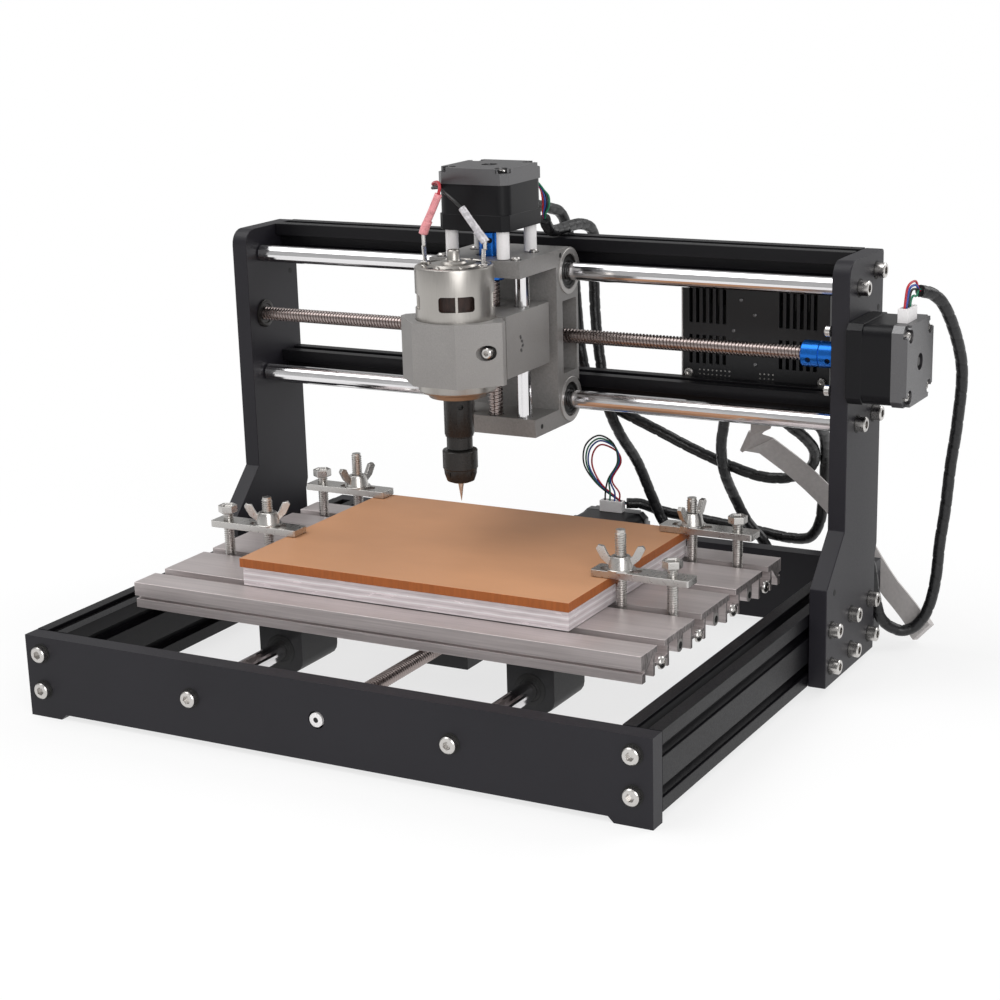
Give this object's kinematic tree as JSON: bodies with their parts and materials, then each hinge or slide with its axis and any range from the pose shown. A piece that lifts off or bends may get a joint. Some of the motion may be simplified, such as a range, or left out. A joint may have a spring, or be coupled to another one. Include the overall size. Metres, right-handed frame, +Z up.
{
  "type": "desktop cnc router",
  "caption": "Desktop gantry router with a moving T-slot bed, screw-driven X, Y and Z axes, a collet spindle and a clamped board.",
  "frame": {"origin": "centre of the machine's footprint on the floor, cables left out", "axes": "+X to the right seen from the front plate, +Y from the front plate to the rear plate, +Z up"},
  "size_m": [0.429, 0.353, 0.2723],
  "materials": {
    "black_metal": "black anodised, satin",
    "polished_steel": "polished",
    "motor_black": "black, satin",
    "black_plastic": "matt black",
    "block_black": "black anodised",
    "screw_steel": "bright stainless",
    "lead_steel": "warm bright steel",
    "cable_black": "black sleeve",
    "ribbon_grey": "grey",
    "bed_aluminium": "brushed",
    "board_tan": "smooth tan",
    "slab_clear": "translucent white",
    "cast_aluminium": "matt grey",
    "spindle_nickel": "satin nickel",
    "oxide_steel": "black oxide",
    "blue_aluminium": "blue anodised",
    "nylon_white": "white",
    "clamp_zinc": "zinc plated"
  },
  "bodies": {
    "frame": {"front_plate": "black_metal", "rear_plate": "black_metal", "side_rail_left": "black_metal", "side_rail_right": "black_metal", "upright_left": "black_metal", "upright_right": "black_metal", "cross_beam_lower": "black_metal", "cross_beam_upper": "black_metal", "x_rod_lower": "polished_steel", "x_rod_upper": "polished_steel", "y_rod_left": "polished_steel", "y_rod_right": "polished_steel", "x_motor": "motor_black", "y_motor": "motor_black", "controller_case": "black_plastic", "front_rod_screw": "screw_steel", "side_beam_screw": "screw_steel", "x_motor_cable": "cable_black", "y_motor_cable": "cable_black", "z_motor_cable": "cable_black", "spindle_cable": "cable_black", "ribbon_cable": "ribbon_grey", "ribbon_plug": "ribbon_grey"},
    "y_table": {"table": "bed_aluminium", "slide_block_front_left": "block_black", "slide_block_front_right": "block_black", "slide_block_rear_left": "block_black", "slide_block_rear_right": "block_black", "y_nut_block": "black_plastic", "workpiece_board": "board_tan", "spoil_slab": "slab_clear", "clamp_bar_front_right": "clamp_zinc", "clamp_bar_rear_right": "clamp_zinc", "clamp_bar_front_left": "clamp_zinc", "clamp_bar_rear_left": "clamp_zinc", "clamp_stud_front_right": "clamp_zinc", "clamp_stud_rear_right": "clamp_zinc", "clamp_stud_front_left": "clamp_zinc", "clamp_stud_rear_left": "clamp_zinc"},
    "x_carriage": {"x_carriage": "cast_aluminium", "z_rod_left": "polished_steel", "z_rod_right": "polished_steel", "z_motor": "motor_black", "standoff_front_left": "nylon_white", "standoff_front_right": "nylon_white", "standoff_rear_left": "nylon_white", "standoff_rear_right": "nylon_white"},
    "z_slide": {"spindle_mount": "cast_aluminium", "spindle_motor": "spindle_nickel"},
    "spindle_rotor": {"tool_holder": "oxide_steel", "cutting_bit": "screw_steel"},
    "x_screw": {"x_lead_screw": "lead_steel", "x_coupling": "blue_aluminium"},
    "y_screw": {"y_lead_screw": "lead_steel"},
    "z_screw": {"z_lead_screw": "lead_steel", "z_coupling": "blue_aluminium"},
    "nut_front_right": {"wing_nut_front_right": "clamp_zinc"},
    "nut_rear_right": {"wing_nut_rear_right": "clamp_zinc"},
    "nut_front_left": {"wing_nut_front_left": "clamp_zinc"},
    "nut_rear_left": {"wing_nut_rear_left": "clamp_zinc"}
  },
  "joints": [
    {"name": "x_slide", "type": "slide", "parent": "frame", "child": "x_carriage", "axis": [1, 0, 0], "range_m": [-0.146, 0.155], "deforming": ["z_motor_cable", "spindle_cable"]},
    {"name": "y_slide", "type": "slide", "parent": "frame", "child": "y_table", "axis": [0, 1, 0], "range_m": [-0.0705, 0.0915]},
    {"name": "z_slide", "type": "slide", "parent": "x_carriage", "child": "z_slide", "axis": [0, 0, 1], "range_m": [-0.019, 0.0135]},
    {"name": "x_screw_turn", "type": "hinge", "parent": "frame", "child": "x_screw", "pos_m": [0.1554, 0.06575, 0.175], "axis": [1, 0, 0], "range_deg": [-14100, 13300]},
    {"name": "y_screw_turn", "type": "hinge", "parent": "frame", "child": "y_screw", "pos_m": [-0.0146, -0.02025, 0.0252], "axis": [0, 1, 0], "range_deg": [-8400, 6500]},
    {"name": "z_screw_turn", "type": "hinge", "parent": "x_carriage", "child": "z_screw", "pos_m": [-0.0192, 0.02875, 0.17], "axis": [0, 0, 1], "range_deg": [-1300, 1800]},
    {"name": "spindle_turn", "type": "hinge", "parent": "z_slide", "child": "spindle_rotor", "pos_m": [-0.0192, -0.01265, 0.13], "axis": [0, 0, 1], "continuous": true},
    {"name": "nut_turn_front_right", "type": "hinge", "parent": "y_table", "child": "nut_front_right", "pos_m": [0.0928, -0.048, 0.0815], "axis": [0, 0, 1], "range_deg": [-30, 330]},
    {"name": "nut_turn_rear_right", "type": "hinge", "parent": "y_table", "child": "nut_rear_right", "pos_m": [0.0928, 0.0414, 0.0815], "axis": [0, 0, 1], "range_deg": [-30, 330]},
    {"name": "nut_turn_front_left", "type": "hinge", "parent": "y_table", "child": "nut_front_left", "pos_m": [-0.1224, -0.048, 0.0815], "axis": [0, 0, 1], "range_deg": [-30, 330]},
    {"name": "nut_turn_rear_left", "type": "hinge", "parent": "y_table", "child": "nut_rear_left", "pos_m": [-0.1202, 0.0414, 0.0815], "axis": [0, 0, 1], "range_deg": [-30, 330]}
  ],
  "couplings": [
    {"joint": "x_screw_turn", "follows": "x_slide", "rad_per_m": -1570.8},
    {"joint": "y_screw_turn", "follows": "y_slide", "rad_per_m": -1570.8},
    {"joint": "z_screw_turn", "follows": "z_slide", "rad_per_m": -1570.8}
  ]
}
